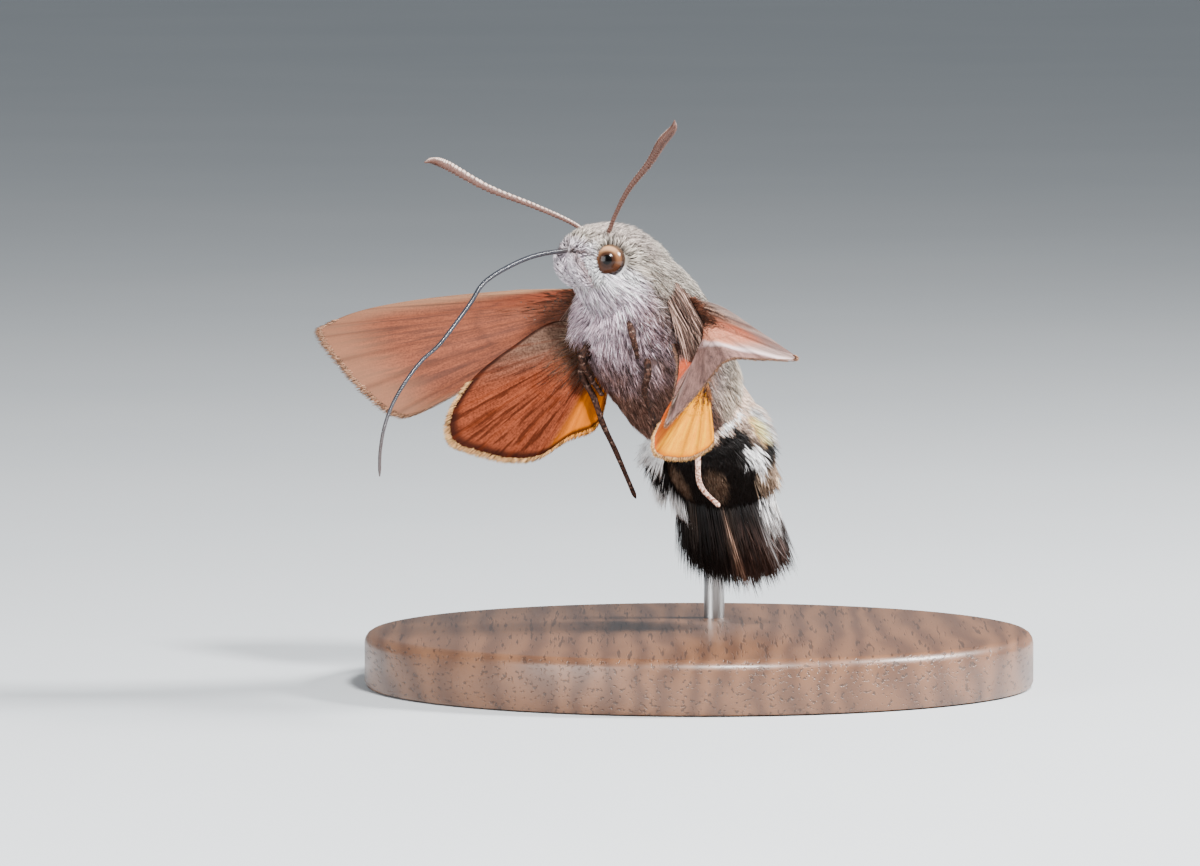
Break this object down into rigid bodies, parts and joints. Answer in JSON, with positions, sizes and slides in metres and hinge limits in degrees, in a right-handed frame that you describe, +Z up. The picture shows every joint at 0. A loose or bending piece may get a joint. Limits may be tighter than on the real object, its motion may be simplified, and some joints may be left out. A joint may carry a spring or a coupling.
{
  "type": "hovering hawk moth model",
  "caption": "Life-size hovering hummingbird hawk moth with its tongue out, wings half down and tail spread, held over a round display base by a bent rod.",
  "frame": {"origin": "middle of the display base's underside", "axes": "+Z up; the moth's head points towards -X, -Y and up, its tail hangs towards +X and down"},
  "size_m": [0.0515, 0.0508, 0.0414],
  "materials": {
    "coat": "dense short fur, grey-brown above and pale mauve-grey below",
    "fan": "long near-black tail hairs",
    "eye": "glossy amber brown",
    "tongue": "smooth steel blue-grey",
    "feeler": "dark brown with pale scales above",
    "forewing": "scaled membrane, brick brown below and grey-brown above",
    "hindwing": "scaled membrane, orange",
    "leg": "dark brown, partly pale scaled",
    "base": "dark walnut, satin",
    "rod": "brushed"
  },
  "bodies": {
    "root": {"head": "coat", "palp_left": "coat", "palp_right": "coat", "eye_left": "eye", "eye_right": "eye", "antenna_left": "feeler", "antenna_right": "feeler", "proboscis": "tongue", "thorax": "coat", "abdomen": "coat", "tail_fan": "fan", "forewing_left": "forewing", "forewing_right": "forewing", "hindwing_left": "hindwing", "hindwing_right": "hindwing", "foreleg_left": "leg", "foreleg_right": "leg", "midleg_left": "leg", "midleg_right": "leg", "hindleg_left": "leg", "hindleg_right": "leg", "stand_base": "base", "stand_rod": "rod"}
  },
  "joints": []
}
